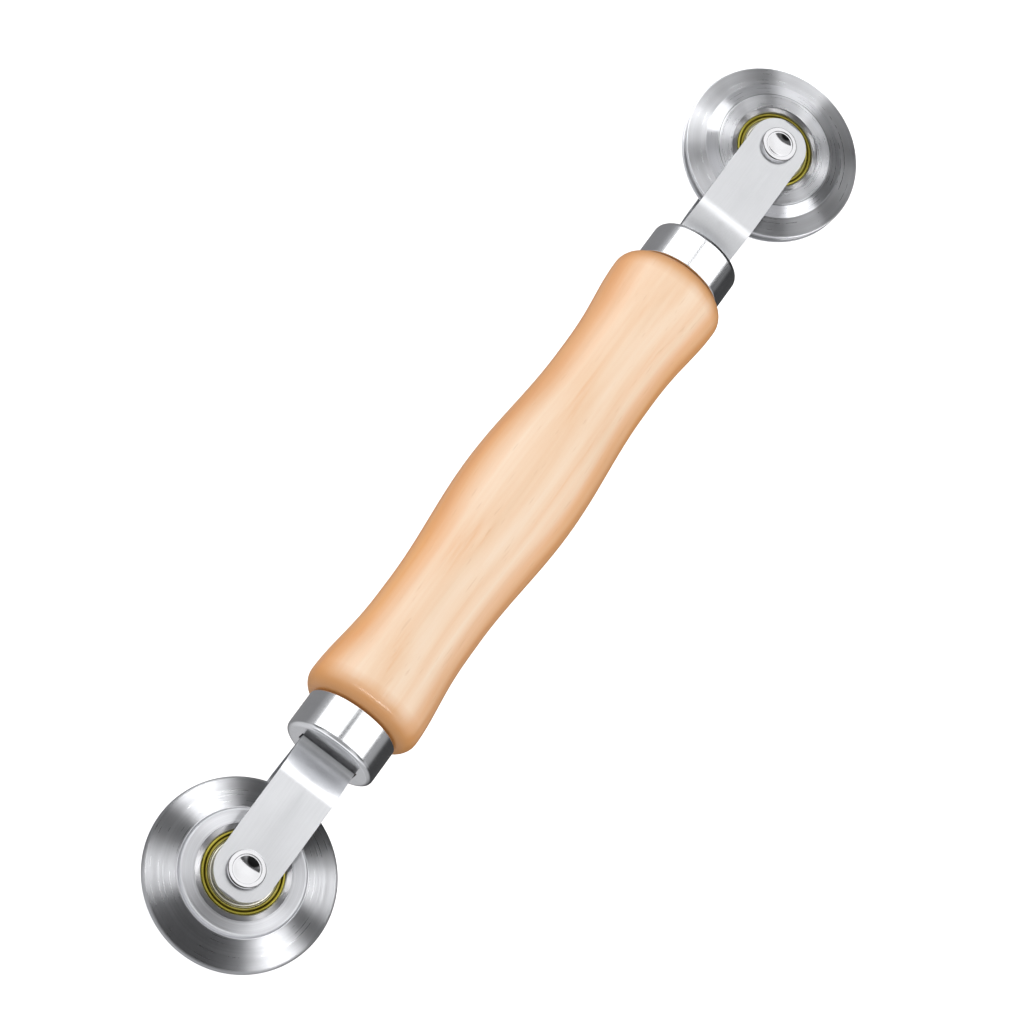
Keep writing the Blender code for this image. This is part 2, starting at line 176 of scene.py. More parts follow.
def eased(corners, steps=4):
    """A profile with each (radius, height, rounding) corner replaced by a smooth fillet."""
    points = []
    count = len(corners)
    for index, (radius, height, rounding) in enumerate(corners):
        here = Vector((radius, height))
        if rounding <= 0:
            points.append((radius, height))
            continue
        before = Vector(corners[index - 1][:2])
        after = Vector(corners[(index + 1) % count][:2])
        first = here + (before - here).normalized() * rounding
        last = here + (after - here).normalized() * rounding
        for step in range(steps + 1):
            share = step / steps
            point = first.lerp(here, share).lerp(here.lerp(last, share), share)
            points.append((point.x, point.y))
    return points


def set_shading(item, sharp=35.0):
    """Shade a piece's mesh smooth but for its sharp edges, with flat faces that stay flat."""
    item.data.shade_smooth()
    item.data.set_sharp_from_angle(angle=math.radians(sharp))
    normals = item.modifiers.new("Even normals", "WEIGHTED_NORMAL")
    normals.keep_sharp = True


def finish_mesh(name, bm, body, nodes, finish, sharp=32.0):
    """Make the bmesh an object that stands for CAD nodes, rides on a body and has its finish."""
    bmesh.ops.recalc_face_normals(bm, faces=bm.faces)
    mesh = bpy.data.meshes.new(name)
    bm.to_mesh(mesh)
    bm.free()
    mesh.materials.append(finish)
    item = bpy.data.objects.new(name, mesh)
    bpy.context.scene.collection.objects.link(item)
    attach(item, body)
    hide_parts(*nodes)
    set_shading(item, sharp)
    return item


def revolve(profile, ring, steps, place=UPRIGHT):
    """A bmesh turned from (radius, height) points about Z, then moved to its place."""
    bm = bmesh.new()
    circles = []
    for radius, height in profile:
        if radius < TINY:
            circles.append([bm.verts.new((0.0, 0.0, height))])
            continue
        circle = []
        for index in range(steps):
            angle = 2 * math.pi * index / steps
            circle.append(bm.verts.new((radius * math.cos(angle), radius * math.sin(angle), height)))
        circles.append(circle)
    pairs = list(zip(circles, circles[1:]))
    if ring:
        pairs.append((circles[-1], circles[0]))
    for first, second in pairs:
        for index in range(steps):
            after = (index + 1) % steps
            loop = [first[index % len(first)], second[index % len(second)],
                    second[after % len(second)], first[after % len(first)]]
            unique = list(dict.fromkeys(loop))
            if len(unique) > 2:
                bm.faces.new(unique)
    bmesh.ops.transform(bm, matrix=place, verts=bm.verts)
    return bm


def apply_cut(item, cutter_bm):
    """Cut a piece's mesh with an exact Boolean and keep only the result."""
    mesh = bpy.data.meshes.new("cutter")
    bmesh.ops.recalc_face_normals(cutter_bm, faces=cutter_bm.faces)
    cutter_bm.to_mesh(mesh)
    cutter_bm.free()
    cutter = bpy.data.objects.new("cutter", mesh)
    bpy.context.scene.collection.objects.link(cutter)
    item.modifiers.clear()
    boolean = item.modifiers.new("Cut", "BOOLEAN")
    boolean.operation = "DIFFERENCE"
    boolean.solver = "EXACT"
    boolean.object = cutter
    apply_modifiers(item)
    bpy.data.objects.remove(cutter, do_unlink=True)


def apply_modifiers(item):
    """Replace a piece's mesh with what its modifiers make of it."""
    graph = bpy.context.evaluated_depsgraph_get()
    graph.update()
    made = bpy.data.meshes.new_from_object(item.evaluated_get(graph), depsgraph=graph)
    item.modifiers.clear()
    item.data = made


def box_bm(size, centre):
    bm = bmesh.new()
    bmesh.ops.create_cube(bm, size=1.0)
    bmesh.ops.scale(bm, vec=size, verts=bm.verts)
    bmesh.ops.translate(bm, vec=centre, verts=bm.verts)
    return bm


def cylinder_bm(radius, depth, centre, steps):
    bm = bmesh.new()
    bmesh.ops.create_cone(bm, cap_ends=True, segments=steps, radius1=radius, radius2=radius, depth=depth)
    bmesh.ops.translate(bm, vec=centre, verts=bm.verts)
    return bm


def bevel_edges(item, width):
    """Round a piece's hard edges for good."""
    item.modifiers.clear()
    bevel = item.modifiers.new("Edges", "BEVEL")
    bevel.width = width
    bevel.segments = 3
    bevel.limit_method = "ANGLE"
    bevel.angle_limit = math.radians(40.0)
    apply_modifiers(item)
    set_shading(item)


# ---------------------------------------------------------------- node helpers

class Tree:
    """A node tree, with short calls for the nodes that the finishes and the room use."""

    def __init__(self, tree):
        self.tree = tree

    def add(self, kind, **settings):
        node = self.tree.nodes.new(kind)
        for key, value in settings.items():
            setattr(node, key, value)
        return node

    def link(self, source, target):
        self.tree.links.new(source, target)

    def feed(self, target, value):
        """Set an input to a number or a tuple, or link it to another node's output."""
        if isinstance(value, (int, float)):
            target.default_value = value
        elif isinstance(value, tuple):
            target.default_value = (*value, 1.0) if len(value) == 3 and target.type == "RGBA" else value
        else:
            self.link(value, target)

    def place(self):
        return self.add("ShaderNodeTexCoord").outputs["Object"]

    def math(self, operation, first, second=0.0, third=0.0):
        node = self.add("ShaderNodeMath", operation=operation)
        for socket, value in zip(node.inputs, (first, second, third)):
            self.feed(socket, value)
        return node.outputs[0]

    def mapped(self, vector, location=(0.0, 0.0, 0.0), rotation=(0.0, 0.0, 0.0), scale=(1.0, 1.0, 1.0)):
        node = self.add("ShaderNodeMapping")
        self.link(vector, node.inputs["Vector"])
        node.inputs["Location"].default_value = location
        node.inputs["Rotation"].default_value = rotation
        node.inputs["Scale"].default_value = scale
        return node.outputs[0]

    def noise(self, vector, scale, detail=4.0, roughness=0.5, distortion=0.0):
        node = self.add("ShaderNodeTexNoise")
        self.link(vector, node.inputs["Vector"])
        node.inputs["Scale"].default_value = scale
        node.inputs["Detail"].default_value = detail
        node.inputs["Roughness"].default_value = roughness
        node.inputs["Distortion"].default_value = distortion
        return node.outputs["Fac"]

    def noise_1d(self, value, scale, detail=3.0):
        node = self.add("ShaderNodeTexNoise", noise_dimensions="1D")
        self.link(value, node.inputs["W"])
        node.inputs["Scale"].default_value = scale
        node.inputs["Detail"].default_value = detail
        return node.outputs["Fac"]

    def ramp(self, value, stops):
        """A colour ramp through (position, colour) stops."""
        node = self.add("ShaderNodeValToRGB")
        self.feed(node.inputs["Fac"], value)
        elements = node.color_ramp.elements
        while len(elements) < len(stops):
            elements.new(0.5)
        for element, (position, colour) in zip(elements, stops):
            element.position = position
            element.color = (*colour, 1.0)
        return node.outputs["Color"]

    def range(self, value, from_low, from_high, to_low, to_high):
        node = self.add("ShaderNodeMapRange")
        self.feed(node.inputs["Value"], value)
        for name, number in (("From Min", from_low), ("From Max", from_high),
                             ("To Min", to_low), ("To Max", to_high)):
            node.inputs[name].default_value = number
        return node.outputs[0]

    def mix(self, factor, first, second, blend="MIX"):
        node = self.add("ShaderNodeMix", data_type="RGBA", blend_type=blend)
        self.feed(node.inputs["Factor"], factor)
        self.feed(node.inputs[6], first)
        self.feed(node.inputs[7], second)
        return node.outputs[2]

    def parts(self, vector):
        """The X, Y and Z of a vector."""
        node = self.add("ShaderNodeSeparateXYZ")
        self.link(vector, node.inputs[0])
        return node.outputs

    def length(self, first, second):
        squares = self.math("ADD", self.math("MULTIPLY", first, first), self.math("MULTIPLY", second, second))
        return self.math("SQRT", squares)


class Nodes(Tree):
    """A new material's node tree, with its shader."""

    def __init__(self, name):
        self.material = bpy.data.materials.new(name)
        self.material.use_nodes = True
        super().__init__(self.material.node_tree)
        self.shader = self.tree.nodes["Principled BSDF"]

    def bump(self, height, strength, distance):
        node = self.add("ShaderNodeBump")
        self.link(height, node.inputs["Height"])
        node.inputs["Strength"].default_value = strength
        node.inputs["Distance"].default_value = distance
        self.link(node.outputs["Normal"], self.shader.inputs["Normal"])
        return node.outputs["Normal"]

    def set(self, **values):
        for name, value in values.items():
            self.feed(self.shader.inputs[name.replace("_", " ")], value)


def from_axle(nodes, centre):
    """The distance from an axle parallel to Z."""
    x, y, _ = nodes.parts(nodes.mapped(nodes.place(), location=(-centre.x, -centre.y, 0.0)))
    return nodes.length(x, y)


# ---------------------------------------------------------------- finishes

GROWTH_RING = 3.4 * MM      # from one growth ring of the wood to the next


def wood_finish():
    """Pale beech under a satin lacquer: soft long grain, growth rings, short flecks, darker end grain, and
    painted shade down the sides and on the shoulders.
    """
    nodes = Nodes("lacquered_beech")
    place = nodes.place()
    # Noise that changes slowly along X is grain along the handle.
    broad = nodes.noise(nodes.mapped(place, rotation=(0.0, 0.02, 0.015), scale=(0.055, 1.0, 1.0)), 190.0,
                        detail=3.0, roughness=0.55, distortion=0.4)
    fibre = nodes.noise(nodes.mapped(place, scale=(0.03, 1.0, 1.0)), 1100.0, detail=5.0, roughness=0.65)
    # Growth rings lie about a pith outside the handle, nearly parallel to it, and sway a little.
    sway = nodes.noise(nodes.mapped(place, scale=(0.25, 1.0, 1.0)), 45.0, detail=2.0)
    sway_vector = nodes.add("ShaderNodeCombineXYZ")
    nodes.link(nodes.math("MULTIPLY", sway, 0.006), sway_vector.inputs["Y"])
    nodes.link(nodes.math("MULTIPLY", sway, 0.004), sway_vector.inputs["Z"])
    warped = nodes.add("ShaderNodeVectorMath", operation="ADD")
    nodes.link(place, warped.inputs[0])
    nodes.link(sway_vector.outputs[0], warped.inputs[1])
    log_place = nodes.mapped(warped.outputs[0], location=(0.0, 0.021, 0.034), rotation=(0.0, 0.05, 0.03),
                             scale=(0.05, 1.0, 1.0))
    _, log_y, log_z = nodes.parts(log_place)
    ring_count = nodes.math("MULTIPLY", nodes.length(log_y, log_z), 2 * math.pi / GROWTH_RING)
    rings = nodes.range(nodes.math("SINE", ring_count), -1.0, 1.0, 0.0, 1.0)
    tone = nodes.math("ADD", nodes.math("MULTIPLY", broad, 0.62), nodes.math("MULTIPLY", fibre, 0.24))
    tone = nodes.math("ADD", tone, nodes.math("MULTIPLY", rings, 0.14))
    face = nodes.ramp(tone, [
        (0.28, (0.780, 0.440, 0.230)),
        (0.42, (0.820, 0.560, 0.362)),
        (0.58, (0.850, 0.635, 0.452)),
        (0.74, (0.868, 0.708, 0.552)),
    ])
    # A deeper, more orange copy of the wood's colour, mixed in down the sides as painted shade.
    edge = nodes.ramp(tone, [
        (0.26, (0.750, 0.265, 0.062)),
        (0.44, (0.815, 0.338, 0.095)),
        (0.60, (0.845, 0.392, 0.130)),
        (0.80, (0.865, 0.448, 0.172)),
    ])
    # Painted shade: the wood is deeper in colour down its sides; at the shoulders the darker end grain is
    # deepened as painted shade too.
    x, y, z = nodes.parts(place)
    side = nodes.math("DIVIDE", nodes.math("ABSOLUTE", y), nodes.length(y, z))
    side = nodes.math("ADD", side, nodes.range(broad, 0.3, 0.7, -0.12, 0.12))
    colour = nodes.mix(nodes.range(side, 0.56, 1.00, 0.0, 0.90), face, edge)
    # Darker end grain at the shoulders, deepened further as painted shade where they face away from the
    # light.
    end_grain_and_shade = nodes.range(nodes.math("ABSOLUTE", x), HANDLE_HALF - 5.0 * MM, HANDLE_HALF - 1.2 * MM,
                            0.0, 0.95)
    colour = nodes.mix(end_grain_and_shade, colour, (0.660, 0.300, 0.092))
    flecks = nodes.noise(nodes.mapped(place, scale=(0.10, 1.0, 1.0)), 1700.0, detail=1.0)
    colour = nodes.mix(nodes.range(flecks, 0.68, 0.76, 0.0, 0.22), colour, (0.600, 0.330, 0.160))
    nodes.set(Base_Color=colour, Roughness=nodes.range(fibre, 0.3, 0.7, 0.42, 0.52),
              Coat_Weight=0.5, Coat_Roughness=0.16, Specular_IOR_Level=0.4)
    nodes.bump(nodes.math("ADD", fibre, nodes.math("MULTIPLY", flecks, 0.4)), 0.08, 0.00006)
    return nodes.material


def turned_steel(name, centre, colour, roughness, anisotropy, zones=(), lean=None):
    """Lathe-turned steel: fine rings round the axle that stretch each highlight across them.

    Zones are (radius, brightness, satin) stops: the brightness paints highlights and shade onto the bands;
    satin is how far a band was brushed even in all directions.
    A lean is (inner radius, outer radius, slope): the tool marks of that band face outwards by the slope.
    """
    nodes = Nodes(name)
    radius = from_axle(nodes, centre)
    rings = nodes.noise_1d(radius, 3600.0, detail=2.0)
    broad_rings = nodes.noise_1d(radius, 900.0, detail=1.0)
    cloud = nodes.noise(nodes.place(), 260.0, detail=4.0)
    shade = nodes.math("ADD", nodes.math("MULTIPLY", rings, 0.5), nodes.math("MULTIPLY", broad_rings, 0.5))
    dark = tuple(value * 0.93 for value in colour)
    light = tuple(min(1.0, value * 1.04) for value in colour)
    steel = nodes.ramp(shade, [(0.30, dark), (0.70, light)])
    rough = nodes.math("ADD", nodes.range(rings, 0.3, 0.7, roughness - 0.05, roughness + 0.06),
                       nodes.range(cloud, 0.3, 0.7, -0.02, 0.03))
    stretch = anisotropy
    if zones:
        share = nodes.math("DIVIDE", radius, WHEEL_R)
        # Painted light: each band's brightness lightens or darkens the steel's colour, painted highlights on
        # the bright bands and painted shade on the dark ones.
        painted_band_light = nodes.ramp(share, [(place / WHEEL_R, (value,) * 3) for place, value, satin in zones])
        satin = nodes.ramp(share, [(place / WHEEL_R, (satin,) * 3) for place, value, satin in zones])
        steel = nodes.mix(1.0, steel, painted_band_light, "MULTIPLY")
        rough = nodes.math("MULTIPLY_ADD", satin, 0.22, rough)
        stretch = nodes.math("MULTIPLY", nodes.math("SUBTRACT", 1.0, satin), anisotropy)
    nodes.set(Base_Color=steel, Metallic=1.0, Roughness=rough, Anisotropic=stretch,
              Anisotropic_Rotation=0.25)
    tangent = nodes.add("ShaderNodeTangent", direction_type="RADIAL", axis="Z")
    nodes.link(tangent.outputs[0], nodes.shader.inputs["Tangent"])
    marks = nodes.bump(broad_rings, 0.05, 0.00002)
    if lean:
        inner, outer, slope = lean
        inside = nodes.math("MINIMUM", nodes.math("MAXIMUM", radius, inner), outer)
        turned_away = nodes.bump(nodes.math("MULTIPLY", inside, -slope), 1.0, 1.0)
        nodes.link(marks, turned_away.node.inputs["Normal"])
    return nodes.material


def chrome_finish(name, colour=(0.86, 0.87, 0.89), roughness=0.17):
    """Polished plate with a faint cloudiness and hairline scratches across the handle's axis."""
    nodes = Nodes(name)
    place = nodes.place()
    scratches = nodes.noise(nodes.mapped(place, scale=(40.0, 1.0, 1.0)), 160.0, detail=3.0)
    cloud = nodes.noise(place, 220.0, detail=3.0)
    mark = nodes.math("ADD", nodes.range(scratches, 0.35, 0.75, -0.02, 0.03),
                      nodes.range(cloud, 0.3, 0.7, 0.0, 0.03))
    dark = tuple(value * 0.95 for value in colour)
    nodes.set(Base_Color=nodes.ramp(cloud, [(0.35, dark), (0.65, colour)]), Metallic=1.0,
              Roughness=nodes.math("ADD", mark, roughness))
    nodes.bump(scratches, 0.04, 0.00001)
    return nodes.material


def satin_finish(name, colour=(0.80, 0.81, 0.83), roughness=0.34):
    """Rolled and tumbled strip: a fine lengthwise grain with soft blotches."""
    nodes = Nodes(name)
    place = nodes.place()
    grain = nodes.noise(nodes.mapped(place, scale=(0.04, 1.0, 1.0)), 3200.0, detail=4.0, roughness=0.6)
    blotch = nodes.noise(place, 180.0, detail=4.0)
    fine = nodes.noise(place, 4200.0, detail=2.0)
    shade = nodes.math("ADD", nodes.math("MULTIPLY", grain, 0.6), nodes.math("MULTIPLY", blotch, 0.4))
    dark = tuple(value * 0.93 for value in colour)
    nodes.set(Base_Color=nodes.ramp(shade, [(0.35, dark), (0.65, colour)]), Metallic=1.0,
              Roughness=nodes.math("ADD", nodes.range(grain, 0.3, 0.7, -0.04, 0.05), roughness),
              Anisotropic=0.3)
    nodes.bump(nodes.math("ADD", grain, nodes.math("MULTIPLY", fine, 0.4)), 0.10, 0.00001)
    return nodes.material


def brass_finish(name, centre):
    """The yellow passivated snap ring, with painted highlights on its two ridges and painted shade, dark
    olive, in the groove between.
    """
    nodes = Nodes(name)
    place = nodes.place()
    radius = from_axle(nodes, centre)
    cloud = nodes.noise(place, 500.0, detail=4.0)
    fine = nodes.noise(place, 3000.0, detail=2.0)
    share = nodes.range(radius, SNAP_RING_IN_R, SEAT_R, 0.0, 1.0)
    # The ramp paints highlights on the ridges near the ring's edges and shade in the groove between.
    band = nodes.ramp(nodes.math("ADD", share, nodes.range(cloud, 0.3, 0.7, -0.04, 0.04)), [
        (0.06, (0.50, 0.46, 0.16)),
        (0.28, (0.24, 0.20, 0.03)),
        (0.62, (0.17, 0.14, 0.02)),
        (0.90, (0.50, 0.45, 0.08)),
    ])
    nodes.set(Base_Color=band, Metallic=1.0, Roughness=nodes.range(fine, 0.3, 0.7, 0.26, 0.38))
    nodes.bump(fine, 0.08, 0.00001)
    return nodes.material


def nylon_finish(name):
    """Moulded cage plastic with a fine grain."""
    nodes = Nodes(name)
    place = nodes.place()
    cloud = nodes.noise(place, 700.0, detail=4.0)
    nodes.set(Base_Color=nodes.ramp(cloud, [(0.35, (0.14, 0.12, 0.09)), (0.65, (0.20, 0.17, 0.13))]),
              Roughness=nodes.range(cloud, 0.3, 0.7, 0.42, 0.55))
    nodes.bump(nodes.noise(place, 5000.0, detail=2.0), 0.15, 0.00002)
    return nodes.material


# ---------------------------------------------------------------- pieces

def handle_radius(place):
    """The handle's radius at an X: the middle swell, a waist and the flare towards the shoulder."""
    reach = abs(place)
    if reach < WAIST_X:
        share = 0.5 + 0.5 * math.cos(math.pi * reach / WAIST_X)
        return HANDLE_WAIST_R + (HANDLE_R - HANDLE_WAIST_R) * share
    share = 0.5 - 0.5 * math.cos(math.pi * min(1.0, (reach - WAIST_X) / (SWELL_X - WAIST_X)))
    return HANDLE_WAIST_R + (HANDLE_END_R - HANDLE_WAIST_R) * share ** FLARE_POWER


def make_handle():
    """The turned handle, with an eased shoulder and a tenon at each end."""
    chamfer = 0.4 * MM
    tenon = [(0.0, TENON_END), (TENON_R - chamfer, TENON_END), (TENON_R, TENON_END - chamfer),
             (TENON_R, HANDLE_HALF)]
    corner = arc((HANDLE_END_R - SHOULDER_ROUND, HANDLE_HALF - SHOULDER_ROUND), SHOULDER_ROUND, 90, 6, 12)
    upper = tenon + corner
    stations = 120
    side = []
    for index in range(stations + 1):
        place = SWELL_X * (1 - 2 * index / stations)
        side.append((handle_radius(place), place))
    bm = revolve(upper + side + below(upper), False, ROUND_STEPS, ALONG_X)
    handle = finish_mesh("wood_handle", bm, "frame", ["handle"], wood_finish())
    slot_low = TANG_END - 1.0 * MM
    slot_high = TENON_END + 1.0 * MM
    for end, way in ENDS.items():
        size = (slot_high - slot_low, 2 * FORK_HALF_WIDTH + SLOT_CLEARANCE, 2 * TANG_OUT + SLOT_CLEARANCE)
        apply_cut(handle, box_bm(size, (way * (slot_low + slot_high) / 2, 0.0, 0.0)))
        apply_cut(handle, cylinder_bm(PIN_HOLE_R, THROUGH, middle(f"{end}_tang_pin"), PIN_STEPS))
    set_shading(handle)


def end_place(way):
    """Turns a piece built at +X about Z to its own end."""
    return Matrix.Rotation(0.0 if way > 0 else math.pi, 4, "Z")


def make_ferrule(end, way, finish):
    """The polished cup: rolled mouth, rounded closed end and the slot that the strap passes through."""
    wall = 1.2 * MM
    corners = [
        (0.0, FERRULE_OUT, 0.0),
        (FERRULE_R, FERRULE_OUT, 1.15 * MM),
        (FERRULE_R, FERRULE_MOUTH, 0.28 * MM),
        (FERRULE_BORE_R, FERRULE_MOUTH, 0.15 * MM),
        (FERRULE_BORE_R, FERRULE_OUT - wall, 0.30 * MM),
        (0.0, FERRULE_OUT - wall, 0.0),
    ]
    bm = revolve(eased(corners, 8), False, ROUND_STEPS, end_place(way) @ ALONG_X)
    name = f"{end}_polished_ferrule"
    item = finish_mesh(name, bm, "frame", [f"{end}_ferrule"], finish)
    size = (4 * wall, 2 * FORK_HALF_WIDTH + SLOT_CLEARANCE, 2 * TANG_OUT + SLOT_CLEARANCE)
    apply_cut(item, box_bm(size, (way * FERRULE_OUT, 0.0, 0.0)))
    set_shading(item)


def strap_line():
    """Half of the fork's centre line, from the fold to the far end of the joggle."""
    tang_z = TANG_OUT - FORK_THICK / 2
    points = arc((TANG_END + FORK_THICK / 2 + tang_z, 0.0), tang_z, 180, 90, 8)
    stations = 28
    for index in range(stations + 1):
        share = index / stations
        rise = 0.5 - 0.5 * math.cos(math.pi * share ** JOGGLE_POWER)
        points.append((JOGGLE_START + (JOGGLE_END - JOGGLE_START) * share,
                       tang_z + (CHEEK_Z - tang_z) * rise))
    return points


def make_fork(end, way, finish):
    """The folded strap with its joggles, stamped round ends, holes and eased edges."""
    half = [(place, height, FORK_HALF_WIDTH) for place, height in strap_line()]
    half.append((AXLE_X, CHEEK_Z, FORK_HALF_WIDTH))
    turns = 30
    for index in range(1, turns):
        angle = math.pi / 2 * index / turns
        half.append((AXLE_X + FORK_HALF_WIDTH * math.sin(angle), CHEEK_Z,
                     FORK_HALF_WIDTH * math.cos(angle)))
    lower = [(place, -height, width) for place, height, width in reversed(half)]
    line = lower[:-1] + half
    bm = bmesh.new()
    rows = []
    for place, height, width in line:
        rows.append([bm.verts.new((place, share * width, height)) for share in (-1, 1)])
    for first, second in zip(rows, rows[1:]):
        bm.faces.new((first[0], second[0], second[1], first[1]))
    bmesh.ops.transform(bm, matrix=end_place(way), verts=bm.verts)
    item = finish_mesh(f"{end}_strap_fork", bm, "frame", [f"{end}_fork"], finish)
    item.modifiers.clear()
    thick = item.modifiers.new("Thickness", "SOLIDIFY")
    thick.thickness = FORK_THICK
    thick.offset = 0.0
    thick.use_even_offset = True
    apply_modifiers(item)
    apply_cut(item, cylinder_bm(RIVET_HOLE_R, THROUGH, (way * AXLE_X, 0.0, 0.0), RIVET_HOLE_STEPS))
    apply_cut(item, cylinder_bm(PIN_HOLE_R, THROUGH, middle(f"{end}_tang_pin"), PIN_STEPS))
    bevel_edges(item, 0.16 * MM)


def make_tang_pin(end, finish):
    """The cross pin through the tang and the tenon."""
    low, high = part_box(f"{end}_tang_pin")
    radius = (high[0] - low[0]) / 2
    half = (high[2] - low[2]) / 2
    corners = [(0.0, half, 0.0), (radius, half, 0.2 * MM), (radius, -half, 0.2 * MM), (0.0, -half, 0.0)]
    bm = revolve(eased(corners), False, PIN_STEPS, Matrix.Translation(middle(f"{end}_tang_pin")))
    finish_mesh(f"{end}_pin", bm, "frame", [f"{end}_tang_pin"], finish)


def make_rivet(end, axle, finish):
    """The axle rivet: on each head a rolled edge and a small step round a pressed cone."""
    under = CHEEK_OUT + 0.05 * MM
    cone_r = 2.45 * MM
    head = [
        (0.0, RIVET_TOP - 1.30 * MM, 0.0),
        (cone_r, RIVET_TOP - 0.12 * MM, 0.10 * MM),
        (cone_r + 0.22 * MM, RIVET_TOP - 0.12 * MM, 0.04 * MM),
        (cone_r + 0.34 * MM, RIVET_TOP, 0.08 * MM),
        (RIVET_HEAD_R, RIVET_TOP, 0.50 * MM),
        (RIVET_HEAD_R, under, 0.08 * MM),
        (RIVET_R, under, 0.0),
    ]
    corners = head + [(radius, -height, rounding) for radius, height, rounding in reversed(head)]
    bm = revolve(eased(corners, 6), False, SMALL_STEPS, Matrix.Translation(axle))
    name = f"{end}_hollow_rivet"
    finish_mesh(name, bm, "frame", [f"{end}_axle_rivet"], finish, sharp=25.0)


def make_washers(end, axle, finish):
    """The washers between the cheeks and the bearing's inner ring."""
    for side in SIDES:
        low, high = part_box(f"{end}_spacer_{side}")
        outside = (high[1] - low[1]) / 2
        round_r = 0.12 * MM
        corners = [(outside, high[2], round_r), (outside, low[2], round_r),
                   (RACE_BORE_R, low[2], round_r), (RACE_BORE_R, high[2], round_r)]
        bm = revolve(eased(corners), True, SMALL_STEPS, Matrix.Translation(axle))
        name = f"{end}_washer_{side}"
        finish_mesh(name, bm, "frame", [f"{end}_spacer_{side}"], finish)


def groove(land_r, way, count=10):
    """The upper half of a ball groove, from the land to the groove's bottom."""
    groove_r = BALL_R + 0.1 * MM
    edge = math.degrees(math.acos(abs(land_r - BALL_PITCH_R) / groove_r))
    return [(BALL_PITCH_R + way * (radius - BALL_PITCH_R), height)
            for radius, height in arc((BALL_PITCH_R, 0.0), groove_r, edge, 0, count)]


def make_races(end, axle, body, finish):
    """The bearing's outer and inner rings, each with a ball groove."""
    place = Matrix.Translation(axle)
    edge = 0.35 * MM
    outside = [(RACE_R - edge, RACE_HALF)] + arc((RACE_R - edge, RACE_HALF - edge), edge, 80, 0, 6)
    seat = [(SEAT_R + 0.15 * MM, RACE_HALF), (SEAT_R, RACE_HALF - 0.15 * MM), (SEAT_R, SEAT_Z),
            (OUTER_LAND_R, SEAT_Z)]
    track = mirrored(seat + groove(OUTER_LAND_R, 1))
    bm = revolve(mirrored(outside) + list(reversed(track)), True, ROUND_STEPS, place)
    finish_mesh(f"{end}_bearing_outer_ring", bm, body, [f"{end}_outer_race"], finish)
    land = [(INNER_LAND_R - edge, RACE_HALF)] + arc((INNER_LAND_R - edge, RACE_HALF - edge), edge, 80, 0, 6)
    land = mirrored(land + groove(INNER_LAND_R, -1))
    bore = [(RACE_BORE_R, -RACE_HALF + 0.2 * MM), (RACE_BORE_R, RACE_HALF - 0.2 * MM),
            (RACE_BORE_R + 0.2 * MM, RACE_HALF)]
    bm = revolve(land + [(RACE_BORE_R + 0.2 * MM, -RACE_HALF)] + bore, True, SMALL_STEPS, place)
    finish_mesh(f"{end}_bearing_inner_ring", bm, "frame", [f"{end}_inner_race"], finish)


def make_shields(end, axle, body, shield_finish, brass):
    """On each side a dished shield and the ring with two round ridges that keeps it in the outer race."""
    place = Matrix.Translation(axle)
    sheet = 0.3 * MM
    play = 0.1 * MM
    low = SEAT_Z + play
    out = SEAT_R - play
    dish = SNAP_RING_IN_R - 0.1 * MM
    top = RACE_HALF - 0.05 * MM
    inner = INNER_LAND_R + 0.3 * MM
    plate = [
        (out, low, 0.05 * MM),
        (out, low + sheet, 0.05 * MM),
        (dish, low + sheet, 0.08 * MM),
        (dish - 0.12 * MM, top, 0.10 * MM),
        (dish - 0.55 * MM, top, 0.10 * MM),
        (dish - 0.75 * MM, low + 1.2 * sheet, 0.08 * MM),
        (inner, low + 1.2 * sheet, 0.05 * MM),
        (inner, low, 0.05 * MM),
    ]
    ring_low = low + sheet + 0.05 * MM
    band = (out - SNAP_RING_IN_R) / 4
    snap = [(out, ring_low), (SNAP_RING_IN_R, ring_low)]
    steps = 8
    for centre in (SNAP_RING_IN_R + band, out - band):
        for index in range(steps + 1):
            angle = math.pi * index / steps
            snap.append((centre - band * math.cos(angle),
                         ring_low + 0.06 * MM + (top - ring_low - 0.06 * MM) * math.sin(angle) ** 0.8))
    for side, way in SIDES.items():
        loops = (("shield", eased(plate), "shield_steel", shield_finish),
                 ("snap_ring", snap, "snap_ring_brass", brass))
        for name, loop, slot, finish in loops:
            points = [(radius, way * height) for radius, height in loop]
            bm = revolve(points, True, SMALL_STEPS, place)
            finish_mesh(f"{end}_bearing_{name}_{side}", bm, body, [f"{end}_{name}_{side}"], finish)


def make_balls(end, body, finish):
    for index in range(1, BALL_COUNT + 1):
        node = f"{end}_ball_{index}"
        bm = bmesh.new()
        bmesh.ops.create_uvsphere(bm, u_segments=32, v_segments=20, radius=BALL_R)
        bmesh.ops.translate(bm, vec=middle(node), verts=bm.verts)
        finish_mesh(f"{end}_steel_ball_{index}", bm, body, [node], finish, sharp=80.0)


def make_cage(end, axle, body, finish):
    """The crown cage with a round pocket for each ball."""
    low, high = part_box(f"{end}_cage")
    outer_r = (high[1] - low[1]) / 2
    inner_r = 2 * BALL_PITCH_R - outer_r
    edge = 0.12 * MM
    corners = [(outer_r, high[2], edge), (outer_r, low[2], edge),
               (inner_r, low[2], edge), (inner_r, high[2], edge)]
    bm = revolve(eased(corners), True, 12 * BALL_COUNT, Matrix.Translation(axle))
    cage = finish_mesh(f"{end}_crown_cage", bm, body, [f"{end}_cage"], finish)
    for index in range(1, BALL_COUNT + 1):
        pocket = bmesh.new()
        bmesh.ops.create_uvsphere(pocket, u_segments=24, v_segments=16, radius=BALL_R + 0.1 * MM)
        bmesh.ops.translate(pocket, vec=middle(f"{end}_ball_{index}"), verts=pocket.verts)
        apply_cut(cage, pocket)
    set_shading(cage)


